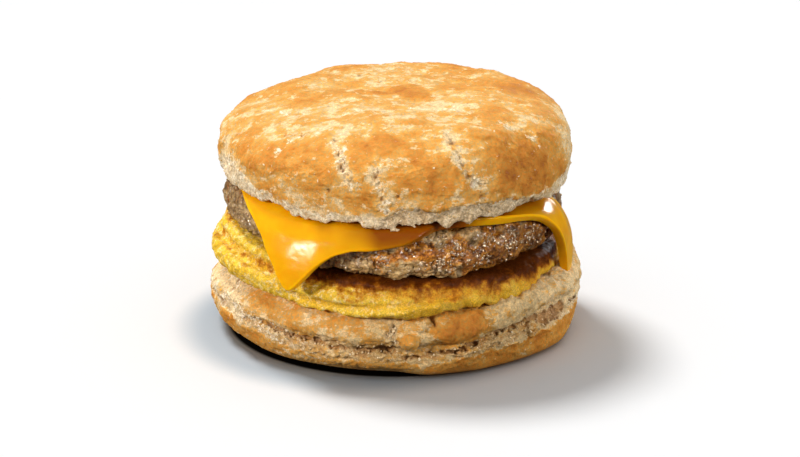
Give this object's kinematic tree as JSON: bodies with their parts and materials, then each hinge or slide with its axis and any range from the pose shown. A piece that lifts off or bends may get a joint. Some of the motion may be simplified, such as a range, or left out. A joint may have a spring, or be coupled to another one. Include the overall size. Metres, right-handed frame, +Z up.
{
  "type": "breakfast sandwich",
  "caption": "Split scone-like biscuit stacked round a folded egg, a sausage patty and a slice of melted cheese that droops at its corners.",
  "frame": {"origin": "the middle of the flat foot under the lower biscuit, on the surface that the sandwich rests on", "axes": "+Z up through the stack, -Y towards the front, where the cheese's large corner hangs to the left, +X to the right as seen from the front"},
  "size_m": [0.094, 0.0919, 0.0616],
  "materials": {
    "biscuit": "baked golden crust, matt to satin, with browned patches and pale torn crumb",
    "egg": "moist yellow omelette with bumps and a lightly browned fold",
    "patty": "grey-brown ground meat with dark seared spots and glints of grease",
    "cheese": "smooth melted orange-yellow cheese with soft highlights"
  },
  "bodies": {
    "root": {"lower_biscuit": "biscuit", "folded_egg": "egg", "sausage_patty": "patty", "cheese_slice": "cheese", "upper_biscuit": "biscuit"}
  },
  "joints": []
}
